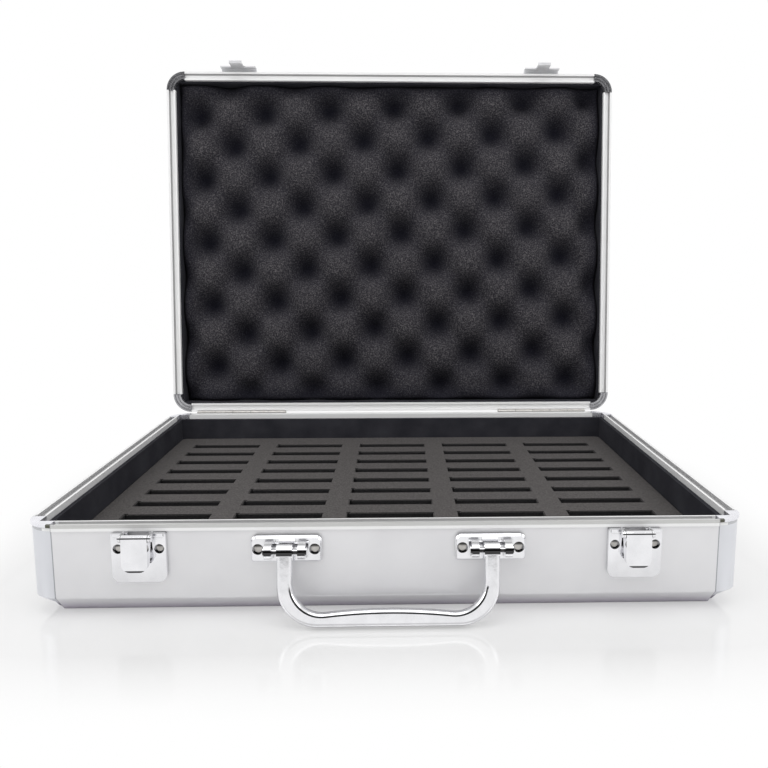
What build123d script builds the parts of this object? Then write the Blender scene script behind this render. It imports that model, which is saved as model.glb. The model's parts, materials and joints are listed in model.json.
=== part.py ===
from build123d import *
import math
import os

# Stone sample box: a low aluminium case whose slotted foam tray holds stone tiles on edge.
# Millimetres. +X is right, +Y is the hinge side and +Z is up. The origin is the middle of the
# base's bottom face. The box is drawn open: lid leaning back, handle down, latches let go.

# Case
width = 400.0
depth = 305.0
base_height = 53.5
lid_height = 34.0
closing_gap = 0.3
lid_open_angle = 95.0

# Aluminium extrusion that makes every side: rim, wall, 45 degree bevel and flange
wall = 1.6
wall_setback = 0.8
bevel = 11.0
bevel_blend = 3.0
flange = 4.0
rim_width = 7.5
rim_height = 4.0
outer_lip = 1.8
inner_lip = 1.5
groove_depth = 2.0

# Corner posts and cast rim corners
base_corner_radius = 16.0
lid_corner_radius = 16.0
post_core = 0.2
casting_skirt = 1.6
casting_clearance = 0.05
notch_before_seam = 0.4
notch_past_seam = 2.4
notch_margin = 1.1
notch_depth = 3.2
lid_corner_ridge = 0.7
lid_corner_inner_cut = 1.0

# Panels, linings and foams
panel_thickness = 4.6
panel_clearance = 0.3
base_lining_thickness = 7.6
lid_lining_thickness = 6.6
lining_clearance = 0.1
underlay_thickness = 2.0
foam_clearance = 0.3
tray_corner = 5.0
underlay_corner = 7.6
tray_recess = 21.5
slot_columns = 5
slot_rows = 9
slot_length = 56.0
slot_width = 9.0
column_pitch = 72.0
row_pitch = 26.8
rear_slot_margin = 26.0
lid_foam_recess = 5.0
lid_foam_side = 9.8
lid_foam_corner = 6.0
pit_depth = 15.0
pit_mouth_radius = 21.5
pit_floor_radius = 7.0
pit_pitch_x = 58.3
pit_pitch_y = 56.6
pit_turn = 3.0
pit_shift_x = 4.0
pit_shift_y = 24.9

# Rivets
rivet_clearance = 0.1
rivet_bore_length = 20.0
rivet_head_round = 0.7
latch_rivet = (2.2, 0.8, 1.4)
handle_rivet = (2.6, 0.9, 1.6)
keeper_rivet = (2.3, 1.1, 1.5)
hinge_rivet = (1.9, 0.8, 1.2)

# Hinges, let into the rear rims
hinge_length = 80.0
hinge_from_side = 62.0
hinge_axis_out = 0.9
hinge_pin_radius = 0.9
hinge_running_clearance = 0.04
knuckle_radius = 1.8
knuckle_clearance = 0.25
knuckle_gap = 0.3
knuckle_count = 5
leaf_thickness = 1.0
leaf_height = 15.0
leaf_joggle_gap = 0.4
leaf_rivet_pitch = 26.0
knuckle_web_inset = 0.2
knuckle_web_root = 0.5
hinge_pin_end = 0.6

# Latches: plate and lever on the base, keeper on the lid
latch_from_side = 64.0
latch_plate_width = 29.6
latch_plate_height = 27.8
latch_plate_proud = 3.5
latch_plate_below_rim = 0.1
latch_sheet = 1.0
latch_lower_radius = 4.5
latch_upper_radius = 1.2
latch_mouth_width = 11.4
latch_mouth_height = 9.0
latch_lip_height = 1.8
latch_lip_proud = 0.8
latch_lip_root = 0.2
latch_rivet_spacing = 22.4
latch_rivet_drop = 8.8
latch_boss_radius = 3.5
latch_boss_recess = 2.7
latch_boss_floor = 1.0
latch_pivot_out = 8.8
latch_pivot_drop = 1.2
latch_ear = 1.0
latch_ear_radius = 2.0
latch_side_clearance = 0.25
lever_width = 14.0
lever_sheet = 0.8
lever_front = 1.0
lever_drop = 18.0
lever_corner_radius = 4.5
lever_roll_radius = 2.1
lever_pin_radius = 1.0
lever_running_clearance = 0.04
lever_pin_head = (1.7, 0.7)
lever_rest_lift = 3.0
lever_engaged_lean = 11.0
lever_gap = 0.3
catch_overlap = 0.5
catch_thickness = 1.0

keeper_width = 31.0
keeper_height = 14.0
keeper_sheet = 1.5
keeper_gap = 0.3
keeper_corner_radius = 3.0
keeper_rivet_spacing = 22.0
tongue_width = 11.0
tongue_sheet = 1.2
tongue_reach = 14.3
tongue_lip = 1.1
tongue_lip_height = 1.2
hump_drop = 3.0
hump_rise = 2.6
hump_shoulder = 3.0
hump_root = 5.0

# Handle: two brackets and a bail
bracket_centre = 56.0
bracket_width = 39.0
bracket_height = 14.8
bracket_thickness = 3.6
bracket_top_bevel = 1.0
bracket_below_rim = 2.4
bracket_corner_radius = 3.5
bracket_rivet_spacing = 31.0
bracket_recess_radius = 3.1
bracket_recess_depth = 2.7
ear_thickness = 4.0
ear_gap = 14.0
ear_radius = 4.0
ear_root_lift = 1.5
handle_pivot_out = 9.0
handle_pivot_height = 40.3
handle_pin_radius = 1.5
handle_running_clearance = 0.05
handle_pin_head = (2.4, 0.8)
bail_arm_width = 8.4
bail_thickness = 7.0
bail_reach = 40.0
bail_outer_radius = 22.0
bail_inner_radius = 16.0
bail_end_height = 5.0
bail_grip_height = 9.4
bail_eye_radius = 4.2
bail_edge_radius = 2.2
bail_rest_angle = 12.0

# Places that follow from the sizes above
wall_inside = wall_setback + wall
bevel_end = wall_setback + bevel
bevel_inside = bevel_end + wall * math.sqrt(2)
lid_rim_plane = base_height + closing_gap
lid_top = lid_rim_plane + lid_height
hinge_y = depth / 2 + hinge_axis_out
hinge_z = base_height + closing_gap / 2
hinge_line = Axis((0, hinge_y, hinge_z), (1, 0, 0))
tray_top = base_height - tray_recess
tray_floor = panel_thickness + underlay_thickness
hinge_centre = width / 2 - hinge_from_side
latch_centre = width / 2 - latch_from_side
tray_side = wall_inside + lining_clearance + base_lining_thickness + foam_clearance
latch_plate_top = base_height - rim_height - latch_plate_below_rim
latch_pivot_z = latch_plate_top - latch_pivot_drop
latch_rivet_z = latch_plate_top - latch_rivet_drop
bracket_top = base_height - rim_height - bracket_below_rim
bracket_rivet_z = bracket_top - bracket_height / 2
lid_foam_floor = lid_top - panel_thickness

SIDES = {
    "front": (0, -depth / 2, 0, width),
    "right": (width / 2, 0, 90, depth),
    "rear": (0, depth / 2, 180, width),
    "left": (-width / 2, 0, 270, depth),
}
CORNERS = {
    "rear_right": (1, 1, 0),
    "rear_left": (-1, 1, 90),
    "front_left": (-1, -1, 180),
    "front_right": (1, -1, 270),
}
nodes = {}


def prism(points, height):
    """A straight-sided solid standing on the XY plane, from its plan outline."""
    return extrude(Polygon(*points, align=None), height)


def bar(points, length):
    """A solid along X, centred, from an outline of (distance in Y, height) points."""
    return extrude(Plane.YZ * Polygon(*points, align=None), length / 2, both=True)


def rod(radius, length):
    """A round solid along X, centred."""
    return Rot(0, 90, 0) * Cylinder(radius, length)


def on_side(piece, side):
    """Moves a piece drawn against the front face, where Y points inward, to a side of the case."""
    x, y, turn, _ = SIDES[side]
    return Pos(x, y, 0) * Rot(0, 0, turn) * piece


def at_corner(piece, corner, radius):
    """Moves a quarter turn drawn about the Z axis to a corner of the case."""
    along_x, along_y, turn = CORNERS[corner]
    centre = Pos(along_x * (width / 2 - radius), along_y * (depth / 2 - radius), 0)
    return centre * Rot(0, 0, turn) * piece


def as_lid(piece):
    """Turns a piece of a rim-up shell over, sets it on the base, and opens it with the lid."""
    return opened(Pos(0, 0, lid_top) * mirror(piece, about=Plane.XY))


def opened(piece):
    """Swings a piece of the closed lid back to where the lid stands open."""
    return piece.rotate(hinge_line, -lid_open_angle)


def rivet(sizes, grip):
    """A rivet drawn along Y: its head stands towards -Y and its shank passes the grip."""
    head_radius, head_height, shank_radius = sizes
    head = Pos(0, 0, head_height / 2) * Cylinder(head_radius, head_height)
    head = fillet(head.edges().group_by(Axis.Z)[-1], rivet_head_round * head_height)
    shank = Pos(0, 0, -grip / 2) * Cylinder(shank_radius, grip)
    return Rot(90, 0, 0) * (head + shank)


def rivet_hole(sizes):
    """The bore for a rivet's shank, along Y and longer than any grip."""
    return Rot(90, 0, 0) * Cylinder(sizes[2] + rivet_clearance, rivet_bore_length)


# Shell sides and corner posts

def extrusion_section(height):
    """Section of the extrusion: inward from the rim's outer face, and up from the flat face."""
    rim_floor = height - rim_height
    groove_floor = height - groove_depth
    outline = [
        (0, height),
        (0, rim_floor),
        (wall_setback, rim_floor),
        (wall_setback, bevel),
        (bevel_end, 0),
        (bevel_end + flange, 0),
        (bevel_end + flange, wall),
        (bevel_inside - wall, wall),
        (wall_inside, bevel_inside - wall_inside),
        (wall_inside, rim_floor),
        (rim_width, rim_floor),
        (rim_width, height),
        (rim_width - inner_lip, height),
        (rim_width - inner_lip, groove_floor),
        (outer_lip, groove_floor),
        (outer_lip, height),
    ]
    section = Polygon(*outline, align=None)
    blended = []
    for vertex in section.vertices():
        at_top = abs(vertex.X - wall_setback) + abs(vertex.Y - bevel) < 0.01
        at_bottom = abs(vertex.X - bevel_end) + abs(vertex.Y) < 0.01
        if at_top or at_bottom:
            blended.append(vertex)
    return fillet(blended, bevel_blend)


def shell_wall(height, run, radius):
    """One side of a shell, with square ends at the corner posts and mitred flanges past them."""
    length = run / 2 - radius
    reach = bevel_end + flange
    plan = [
        (-length, 0),
        (length, 0),
        (length, radius),
        (length - reach, radius + reach),
        (reach - length, radius + reach),
        (-length, radius),
    ]
    side = extrude(Plane.YZ * extrusion_section(height), length, both=True)
    return side & prism(plan, height)


def corner_post(top, radius, foot_run):
    """A quarter turn that carries the wall round a corner; its foot narrows by the foot run."""
    foot_end = wall_setback + foot_run
    slope = bevel / foot_run
    rise = wall * math.sqrt(1 + slope ** 2)
    outline = [
        (wall_setback, top),
        (wall_setback, bevel),
        (foot_end, 0),
        (foot_end, rise),
        (wall_inside, bevel - wall * slope + rise),
        (wall_inside, top),
    ]
    section = Pos(radius, 0) * mirror(Polygon(*outline, align=None), about=Plane.YZ)
    return revolve(Plane.XZ * section, Axis.Z, 90)


def rail_notch(run, radius):
    """The open pockets in the rim at both ends of a rail, where the cast corners plug in."""
    seam = run / 2 - radius
    length = notch_before_seam + notch_past_seam
    pocket_width = rim_width - 2 * notch_margin
    pocket = Box(length, pocket_width, 2 * notch_depth)
    middle = seam + (notch_before_seam - notch_past_seam) / 2
    lift = Pos(0, rim_width / 2, base_height)
    return [Pos(place, 0, 0) * lift * pocket for place in (-middle, middle)]


def quarter_disc(radius, low, high):
    """A quarter of a disc about the Z axis, between two heights."""
    disc = extrude(Pos(0, 0, low) * Circle(radius), high - low)
    return disc & Pos(radius / 2, radius / 2, base_height) * Box(radius, radius, 2 * base_height)


def base_rim_corner():
    """A cast corner of the base rim: a cap with a plug inside the post; round outside, square in."""
    skirt = base_height - casting_skirt
    plug_radius = base_corner_radius - wall_inside - casting_clearance
    corner = quarter_disc(base_corner_radius, skirt, base_height)
    corner += quarter_disc(plug_radius, base_height - rim_height, skirt)
    inner = base_corner_radius - rim_width
    return corner - Pos(inner / 2, inner / 2, base_height) * Box(inner, inner, 3 * rim_height)


def lid_rim_corner():
    """A cast quarter ring over the lid's rim corner, with two raised ridges round it."""
    outer = lid_corner_radius
    inner = outer - rim_width + lid_corner_inner_cut
    low = lid_height - rim_height
    high = lid_height
    ridge = (outer - inner) / 5
    outline = [(inner, low), (outer, low)]
    for step in range(5):
        top = high if step % 2 == 0 else high - lid_corner_ridge
        outline.append((outer - step * ridge, top))
        outline.append((outer - (step + 1) * ridge, top))
    return revolve(Plane.XZ * Polygon(*outline, align=None), Axis.Z, 90)


base_walls = {}
lid_walls = {}
for side, (_, _, _, run) in SIDES.items():
    base_walls[side] = shell_wall(base_height, run, base_corner_radius)
    for notch in rail_notch(run, base_corner_radius):
        base_walls[side] -= notch
    lid_walls[side] = shell_wall(lid_height, run, lid_corner_radius)

base_post = corner_post(
    base_height - casting_skirt, base_corner_radius, base_corner_radius - wall_setback - post_core)
lid_post = corner_post(lid_height - rim_height, lid_corner_radius, bevel)
for corner in CORNERS:
    nodes["base_post_" + corner] = at_corner(base_post, corner, base_corner_radius)
    nodes["lid_post_" + corner] = as_lid(at_corner(lid_post, corner, lid_corner_radius))
    nodes["lid_rim_corner_" + corner] = as_lid(at_corner(lid_rim_corner(), corner, lid_corner_radius))
    casting = at_corner(base_rim_corner(), corner, base_corner_radius)
    for side, (_, _, _, run) in SIDES.items():
        for notch in rail_notch(run, base_corner_radius):
            casting -= on_side(notch, side)
    nodes["base_rim_corner_" + corner] = casting


# Panels and linings

def panel():
    """A board flush with the flanges, with a step round its edge that lies on them."""
    opening = bevel_end + flange + panel_clearance
    seat = bevel_inside - wall + panel_clearance
    upper = Box(width - 2 * seat, depth - 2 * seat, panel_thickness - wall, align=(
        Align.CENTER, Align.CENTER, Align.MIN))
    lower = Box(width - 2 * opening, depth - 2 * opening, wall, align=(
        Align.CENTER, Align.CENTER, Align.MIN))
    corner_cut = base_corner_radius / 2
    return lower + Pos(0, 0, wall) * chamfer(upper.edges().filter_by(Axis.Z), corner_cut)


def lining(height, run, radius, thickness):
    """A lining board on the inside of a wall, mitred at its ends and rounded behind the posts."""
    outer = wall_inside + lining_clearance
    low = bevel_inside - wall_inside + lining_clearance
    high = height - rim_height - lining_clearance
    length = run / 2 - outer
    plan = [
        (-length, outer),
        (length, outer),
        (length - thickness, outer + thickness),
        (thickness - length, outer + thickness),
    ]
    board = Pos(0, 0, low) * prism(plan, high - low)
    hollow = Pos(0, outer + depth / 2, 0) * Box(2 * length, depth, 4 * height)
    hollow = fillet(hollow.edges().filter_by(Axis.Z), radius - outer)
    return board & hollow


nodes["bottom_panel"] = panel()
nodes["lid_panel"] = as_lid(panel())
for side, (_, _, _, run) in SIDES.items():
    base_board = lining(base_height, run, base_corner_radius, base_lining_thickness)
    lid_board = lining(lid_height, run, lid_corner_radius, lid_lining_thickness)
    nodes[f"base_{side}_lining"] = on_side(base_board, side)
    nodes[f"lid_{side}_lining"] = as_lid(on_side(lid_board, side))


# Slotted tray and its underlay

def slot_places():
    """Centres of the tray's slots, with the rear row set by the margin behind it."""
    rear_row = depth / 2 - tray_side - rear_slot_margin - slot_width / 2
    middle = (slot_columns - 1) / 2
    for row in range(slot_rows):
        for column in range(slot_columns):
            yield (column - middle) * column_pitch, rear_row - row * row_pitch


def foam_sheet(low, high, inset):
    """A rectangular sheet of foam between two heights, an inset inside the case's outline."""
    sheet = Box(width - 2 * inset, depth - 2 * inset, high - low)
    return Pos(0, 0, (low + high) / 2) * sheet


tray = foam_sheet(tray_floor, tray_top, tray_side)
tray = fillet(tray.edges().filter_by(Axis.Z), tray_corner)
for x, y in slot_places():
    tray -= Pos(x, y, tray_top) * Box(slot_length, slot_width, 2 * base_height)
nodes["slotted_tray"] = tray
underlay = foam_sheet(panel_thickness, tray_floor, tray_side)
nodes["tray_underlay"] = chamfer(underlay.edges().filter_by(Axis.Z), underlay_corner)


# Egg-crate foam in the lid

def pit_places():
    """Centres of the foam's pits: staggered rows, turned a little on the sheet."""
    turn = math.radians(pit_turn)
    columns = math.ceil(width / pit_pitch_x)
    rows = math.ceil(depth / pit_pitch_y)
    for row in range(-2 * rows, 2 * rows + 1):
        for column in range(-columns, columns + 1):
            along = (column + 0.5 * (row % 2)) * pit_pitch_x
            up = 0.5 * row * pit_pitch_y
            x = pit_shift_x + along * math.cos(turn) - up * math.sin(turn)
            y = along * math.sin(turn) + up * math.cos(turn) - depth / 2 + pit_shift_y
            if abs(x) < width / 2 and abs(y) < depth / 2:
                yield x, -y


foam = foam_sheet(lid_rim_plane + lid_foam_recess, lid_foam_floor, lid_foam_side)
foam = fillet(foam.edges().filter_by(Axis.Z), lid_foam_corner)
pit = Cone(pit_mouth_radius, pit_floor_radius, pit_depth, align=(
    Align.CENTER, Align.CENTER, Align.MIN))
for x, y in pit_places():
    foam -= Pos(x, y, lid_rim_plane + lid_foam_recess) * pit
nodes["egg_crate_foam"] = opened(foam)


# Hinges

def leaf(own):
    """One hinge leaf, drawn on the front face: plate, joggle over the rim and own knuckles."""
    rim_floor = base_height - rim_height
    low = base_height - leaf_height
    outer = wall_setback - leaf_thickness
    joggle_low = rim_floor - wall_setback - leaf_joggle_gap
    joggle_high = rim_floor - leaf_joggle_gap
    plate_top = hinge_z - knuckle_radius - knuckle_gap
    outline = [
        (wall_setback, low),
        (wall_setback, joggle_low),
        (0, joggle_high),
        (0, plate_top),
        (-leaf_thickness, plate_top),
        (-leaf_thickness, joggle_high),
        (outer, joggle_low),
        (outer, low),
    ]
    plate = bar(outline, hinge_length)
    pitch = (hinge_length + knuckle_gap) / knuckle_count
    length = pitch - knuckle_gap
    web_top = hinge_z - hinge_pin_radius - hinge_running_clearance - knuckle_web_inset
    web_root = plate_top - knuckle_web_root
    web = [
        (0, web_root),
        (0, web_top),
        (-leaf_thickness, web_top),
        (-leaf_thickness, web_root),
    ]
    centre = Pos(0, -hinge_axis_out, hinge_z)
    for index in own:
        place = Pos((index - (knuckle_count - 1) / 2) * pitch, 0, 0)
        plate += place * (bar(web, length) + centre * rod(knuckle_radius, length))
    return plate


def hinge_rivet_places():
    """Rivets along a leaf, in the middle of the plate below its joggle."""
    height = base_height - (leaf_height + rim_height) / 2
    return [(step * leaf_rivet_pitch, height) for step in (-1, 0, 1)]


def hinge_bore(radius):
    """The bore through a leaf's knuckles."""
    return Pos(0, -hinge_axis_out, hinge_z) * rod(radius, 2 * hinge_length)


def mirrored_to_lid(piece):
    """The lid's half of the hinge is the base's half seen in the closing plane."""
    return mirror(piece, about=Plane.XY.offset(hinge_z))


knuckle_room = Pos(0, -hinge_axis_out, hinge_z) * rod(
    knuckle_radius + knuckle_clearance, hinge_length + 2 * knuckle_gap)
base_leaf = leaf(range(0, knuckle_count, 2)) - hinge_bore(hinge_pin_radius)
lid_leaf = mirrored_to_lid(leaf(range(1, knuckle_count, 2)))
lid_leaf -= hinge_bore(hinge_pin_radius + hinge_running_clearance)
hinge_pin = Pos(0, -hinge_axis_out, hinge_z) * rod(
    hinge_pin_radius, hinge_length + 2 * hinge_pin_end)
leaf_rivets = Part()
for x, z in hinge_rivet_places():
    seat = Pos(x, wall_setback - leaf_thickness, z)
    leaf_rivets += seat * rivet(hinge_rivet, leaf_thickness + wall)
    base_leaf -= seat * rivet_hole(hinge_rivet)
    lid_leaf -= mirrored_to_lid(seat * rivet_hole(hinge_rivet))

lid_rear_in_place = Pos(0, 0, lid_top) * mirror(lid_walls["rear"], about=Plane.XY)
hinge_base_rivets = Part()
hinge_lid_rivets = Part()
for name, x in (("left", -hinge_centre), ("right", hinge_centre)):
    beside = Pos(-x, 0, 0)
    nodes[f"hinge_base_leaf_{name}"] = on_side(beside * base_leaf, "rear")
    nodes[f"hinge_lid_leaf_{name}"] = opened(on_side(beside * lid_leaf, "rear"))
    nodes[f"hinge_pin_{name}"] = on_side(beside * hinge_pin, "rear")
    hinge_base_rivets += on_side(beside * leaf_rivets, "rear")
    hinge_lid_rivets += opened(on_side(beside * mirrored_to_lid(leaf_rivets), "rear"))
    base_walls["rear"] -= beside * knuckle_room
    lid_rear_in_place -= beside * knuckle_room
    for rivet_x, z in hinge_rivet_places():
        hole = beside * Pos(rivet_x, 0, z) * rivet_hole(hinge_rivet)
        base_walls["rear"] -= hole
        lid_rear_in_place -= mirrored_to_lid(hole)
nodes["hinge_base_rivets"] = hinge_base_rivets
nodes["hinge_lid_rivets"] = hinge_lid_rivets


# Latches

def out(distance):
    """The Y of a point that stands a distance out from the wall's face, on the front side."""
    return wall_setback - distance


def outlined(points):
    """Turns (distance out of the wall, height) points into (Y, height) points."""
    return [(out(distance), height) for distance, height in points]


def turned(piece, angle):
    """Swings a piece about a latch's pivot; a positive angle lifts the lever's free end out."""
    return piece.rotate(Axis((0, out(latch_pivot_out), latch_pivot_z), (1, 0, 0)), -angle)


def latch_plate():
    """The pressed plate: a shallow dish, two riveting cups, a mouth for the tongue and two ears."""
    back = out(0)
    middle = latch_plate_top - latch_plate_height / 2
    place = Pos(0, back - latch_plate_proud / 2, middle)
    dish = Box(latch_plate_width, latch_plate_proud, latch_plate_height)
    uprights = dish.edges().filter_by(Axis.Y).sort_by(Axis.Z)
    dish = fillet(uprights[:2], latch_lower_radius)
    dish = fillet(dish.edges().filter_by(Axis.Y).sort_by(Axis.Z)[-2:], latch_upper_radius)
    hollow = Box(
        latch_plate_width - 2 * latch_sheet, latch_plate_proud,
        latch_plate_height - 2 * latch_sheet)
    hollow = fillet(
        hollow.edges().filter_by(Axis.Y).sort_by(Axis.Z)[:2], latch_lower_radius - latch_sheet)
    plate = place * (dish - Pos(0, latch_sheet, 0) * hollow)
    for side in (-1, 1):
        cup = Pos(side * latch_rivet_spacing / 2, back, latch_rivet_z) * Rot(90, 0, 0)
        boss = Cylinder(latch_boss_radius, latch_plate_proud, align=(
            Align.CENTER, Align.CENTER, Align.MIN))
        recess = Pos(0, 0, latch_boss_floor) * Cylinder(latch_boss_recess, latch_plate_proud, align=(
            Align.CENTER, Align.CENTER, Align.MIN))
        plate = plate + cup * boss - cup * recess - cup * Cylinder(
            latch_rivet[2] + rivet_clearance, 4 * latch_plate_proud)
    mouth = Box(latch_mouth_width, 4 * latch_plate_proud, 2 * latch_mouth_height)
    plate -= Pos(0, back, latch_plate_top) * mouth
    lever_room = lever_width / 2 + latch_side_clearance
    ear_middle = lever_room + latch_ear / 2
    lip_length = latch_plate_width / 2 - latch_upper_radius - lever_room
    lip = Box(lip_length, latch_lip_proud + latch_lip_root, latch_lip_height)
    lip_y = out(latch_plate_proud + (latch_lip_proud - latch_lip_root) / 2)
    for side in (-1, 1):
        lip_x = side * (lever_room + lip_length / 2)
        plate += Pos(lip_x, lip_y, latch_plate_top - latch_lip_height / 2) * lip
        arm_length = latch_pivot_out - latch_plate_proud + latch_sheet
        arm_y = out((latch_pivot_out + latch_plate_proud - latch_sheet) / 2)
        arm = Pos(0, arm_y, latch_pivot_z) * Box(latch_ear, arm_length, 2 * latch_ear_radius)
        eye = Pos(0, out(latch_pivot_out), latch_pivot_z) * rod(latch_ear_radius, latch_ear)
        plate += Pos(side * ear_middle, 0, 0) * (arm + eye)
    return plate - Pos(0, out(latch_pivot_out), latch_pivot_z) * rod(lever_pin_radius, 2 * lever_width)


def lever():
    """The pressed lever at rest: front sheet, side flanges, rolled top and the catch behind it."""
    front_out = latch_pivot_out + lever_roll_radius
    bottom = latch_pivot_z - lever_drop
    seat = latch_plate_proud + lever_gap
    lean = math.tan(math.radians(lever_engaged_lean))
    profile = outlined([
        (front_out, latch_pivot_z),
        (front_out, bottom),
        (seat + lever_drop * lean, bottom),
        (seat, latch_pivot_z),
        (seat + lever_sheet, latch_pivot_z + lever_sheet),
        (latch_pivot_out - lever_roll_radius, latch_pivot_z + lever_roll_radius),
        (latch_pivot_out, latch_pivot_z + lever_roll_radius),
    ])
    height = 2 * lever_drop
    cap = Box(lever_width, front_out, height)
    cap = fillet(cap.edges().filter_by(Axis.Y).group_by(Axis.Z)[0], lever_corner_radius)
    hollow = Box(lever_width - 2 * lever_sheet, front_out, height)
    hollow = fillet(
        hollow.edges().filter_by(Axis.Y).group_by(Axis.Z)[0], lever_corner_radius - lever_sheet)
    cap -= Pos(0, lever_front, lever_sheet) * hollow
    piece = (Pos(0, out(front_out / 2), bottom + height / 2) * cap) & bar(profile, lever_width)
    piece += Pos(0, out(latch_pivot_out), latch_pivot_z) * rod(lever_roll_radius, lever_width)
    tip = seat + tongue_sheet + tongue_lip - catch_overlap
    low = base_height - tongue_reach + tongue_lip_height + lever_gap
    reach = front_out - lever_front / 2 - (latch_pivot_z - low) * lean
    catch = bar(outlined([
        (tip, low), (tip, low + catch_thickness),
        (reach, low + catch_thickness), (reach, low)]), lever_width - lever_sheet)
    piece += turned(catch, lever_engaged_lean)
    bore = rod(lever_pin_radius + lever_running_clearance, 2 * lever_width)
    return turned(piece - Pos(0, out(latch_pivot_out), latch_pivot_z) * bore, lever_rest_lift)


def lever_pin():
    """The pivot pin, with a formed head outside each ear of the plate."""
    head_radius, head_length = lever_pin_head
    length = lever_width + 2 * (latch_side_clearance + latch_ear)
    pin = rod(lever_pin_radius, length)
    for side in (-1, 1):
        pin += Pos(side * (length + head_length) / 2, 0, 0) * rod(head_radius, head_length)
    return Pos(0, out(latch_pivot_out), latch_pivot_z) * pin


def keeper():
    """The keeper, closed: a riveted plate, a hump over the rim, and a tongue that hooks out."""
    plate_low = lid_rim_plane + rim_height + keeper_gap
    plate = Box(keeper_width, keeper_sheet, keeper_height)
    plate = fillet(plate.edges().filter_by(Axis.Y), keeper_corner_radius)
    plate = Pos(0, out(keeper_sheet / 2), plate_low + keeper_height / 2) * plate
    inner = latch_plate_proud + lever_gap
    outer = inner + tongue_sheet
    end = base_height - tongue_reach
    hump_end = lid_rim_plane - hump_drop
    shoulder = lid_rim_plane + hump_shoulder
    corner_rise = tongue_sheet * math.tan(math.atan2(inner, plate_low + hump_rise - shoulder) / 2)
    hump = bar(outlined([
        (0, plate_low + hump_root),
        (0, plate_low + hump_rise),
        (inner, shoulder),
        (inner, hump_end),
        (outer, hump_end),
        (outer, shoulder + corner_rise),
        (keeper_sheet, plate_low + hump_rise + corner_rise),
        (keeper_sheet, plate_low + hump_root)]), keeper_width)
    tongue = bar(outlined([
        (inner, hump_end + tongue_sheet),
        (inner, end),
        (outer + tongue_lip, end),
        (outer + tongue_lip, end + tongue_lip_height),
        (outer, end + tongue_lip_height),
        (outer, hump_end + tongue_sheet)]), tongue_width)
    piece = plate + hump + tongue
    for side in (-1, 1):
        piece -= keeper_rivet_seat(side) * rivet_hole(keeper_rivet)
    return piece


def keeper_rivet_seat(side):
    """Where a keeper's rivet head sits on its plate."""
    height = lid_rim_plane + rim_height + keeper_gap + keeper_height / 2
    return Pos(side * keeper_rivet_spacing / 2, out(keeper_sheet), height)


lid_front_in_place = Pos(0, 0, lid_top) * mirror(lid_walls["front"], about=Plane.XY)
latch_rivets = Part()
keeper_rivets = Part()
lever_pins = Part()
plate = latch_plate()
latch_lever = lever()
for name, x in (("left", -latch_centre), ("right", latch_centre)):
    beside = Pos(x, 0, 0)
    nodes[f"latch_plate_{name}"] = on_side(beside * plate, "front")
    nodes[f"latch_lever_{name}"] = on_side(beside * latch_lever, "front")
    lever_pins += on_side(beside * lever_pin(), "front")
    nodes[f"keeper_{name}"] = opened(on_side(beside * keeper(), "front"))
    for side in (-1, 1):
        place = beside * Pos(side * latch_rivet_spacing / 2, out(latch_boss_floor), latch_rivet_z)
        latch_rivets += on_side(place * rivet(latch_rivet, latch_boss_floor + wall), "front")
        base_walls["front"] -= place * rivet_hole(latch_rivet)
        place = beside * keeper_rivet_seat(side)
        keeper_rivets += opened(on_side(place * rivet(keeper_rivet, keeper_sheet + wall), "front"))
        lid_front_in_place -= place * rivet_hole(keeper_rivet)
nodes["lever_pins"] = lever_pins
nodes["latch_rivets"] = latch_rivets
nodes["keeper_rivets"] = keeper_rivets


# Handle

def bracket():
    """A handle bracket: thick plate with two sunk rivet seats, and two ears for the pin."""
    plate = Box(bracket_width, bracket_thickness, bracket_height)
    plate = fillet(plate.edges().filter_by(Axis.Y).sort_by(Axis.Z)[-2:], bracket_corner_radius)
    plate = fillet(
        plate.edges().filter_by(Axis.Y).sort_by(Axis.Z)[:2], bracket_corner_radius / 2)
    plate = chamfer(plate.edges().group_by(Axis.Y)[0].sort_by(Axis.Z)[-1], bracket_top_bevel)
    plate = Pos(0, out(bracket_thickness / 2), bracket_rivet_z) * plate
    pivot = Pos(0, out(handle_pivot_out), handle_pivot_height)
    for side in (-1, 1):
        cup = Pos(side * bracket_rivet_spacing / 2, out(bracket_thickness), bracket_rivet_z)
        recess = Rot(90, 0, 0) * Cylinder(bracket_recess_radius, 2 * bracket_recess_depth)
        plate = plate - cup * recess - cup * rivet_hole(handle_rivet)
        outline = outlined([
            (0, bracket_top - bracket_height + ear_root_lift),
            (0, bracket_top - bracket_top_bevel),
            (handle_pivot_out, handle_pivot_height + ear_radius),
            (handle_pivot_out, handle_pivot_height - ear_radius)])
        ear = bar(outline, ear_thickness) + pivot * rod(ear_radius, ear_thickness)
        plate += Pos(side * (ear_gap + ear_thickness) / 2, 0, 0) * ear
    return plate - pivot * rod(handle_pin_radius, 2 * bracket_width)


def handle_pin():
    """The pin through a bracket's ears, headed at both ends."""
    head_radius, head_length = handle_pin_head
    length = ear_gap + 2 * ear_thickness
    pin = rod(handle_pin_radius, length)
    for side in (-1, 1):
        pin += Pos(side * (length + head_length) / 2, 0, 0) * rod(head_radius, head_length)
    return Pos(0, out(handle_pivot_out), handle_pivot_height) * pin


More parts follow.
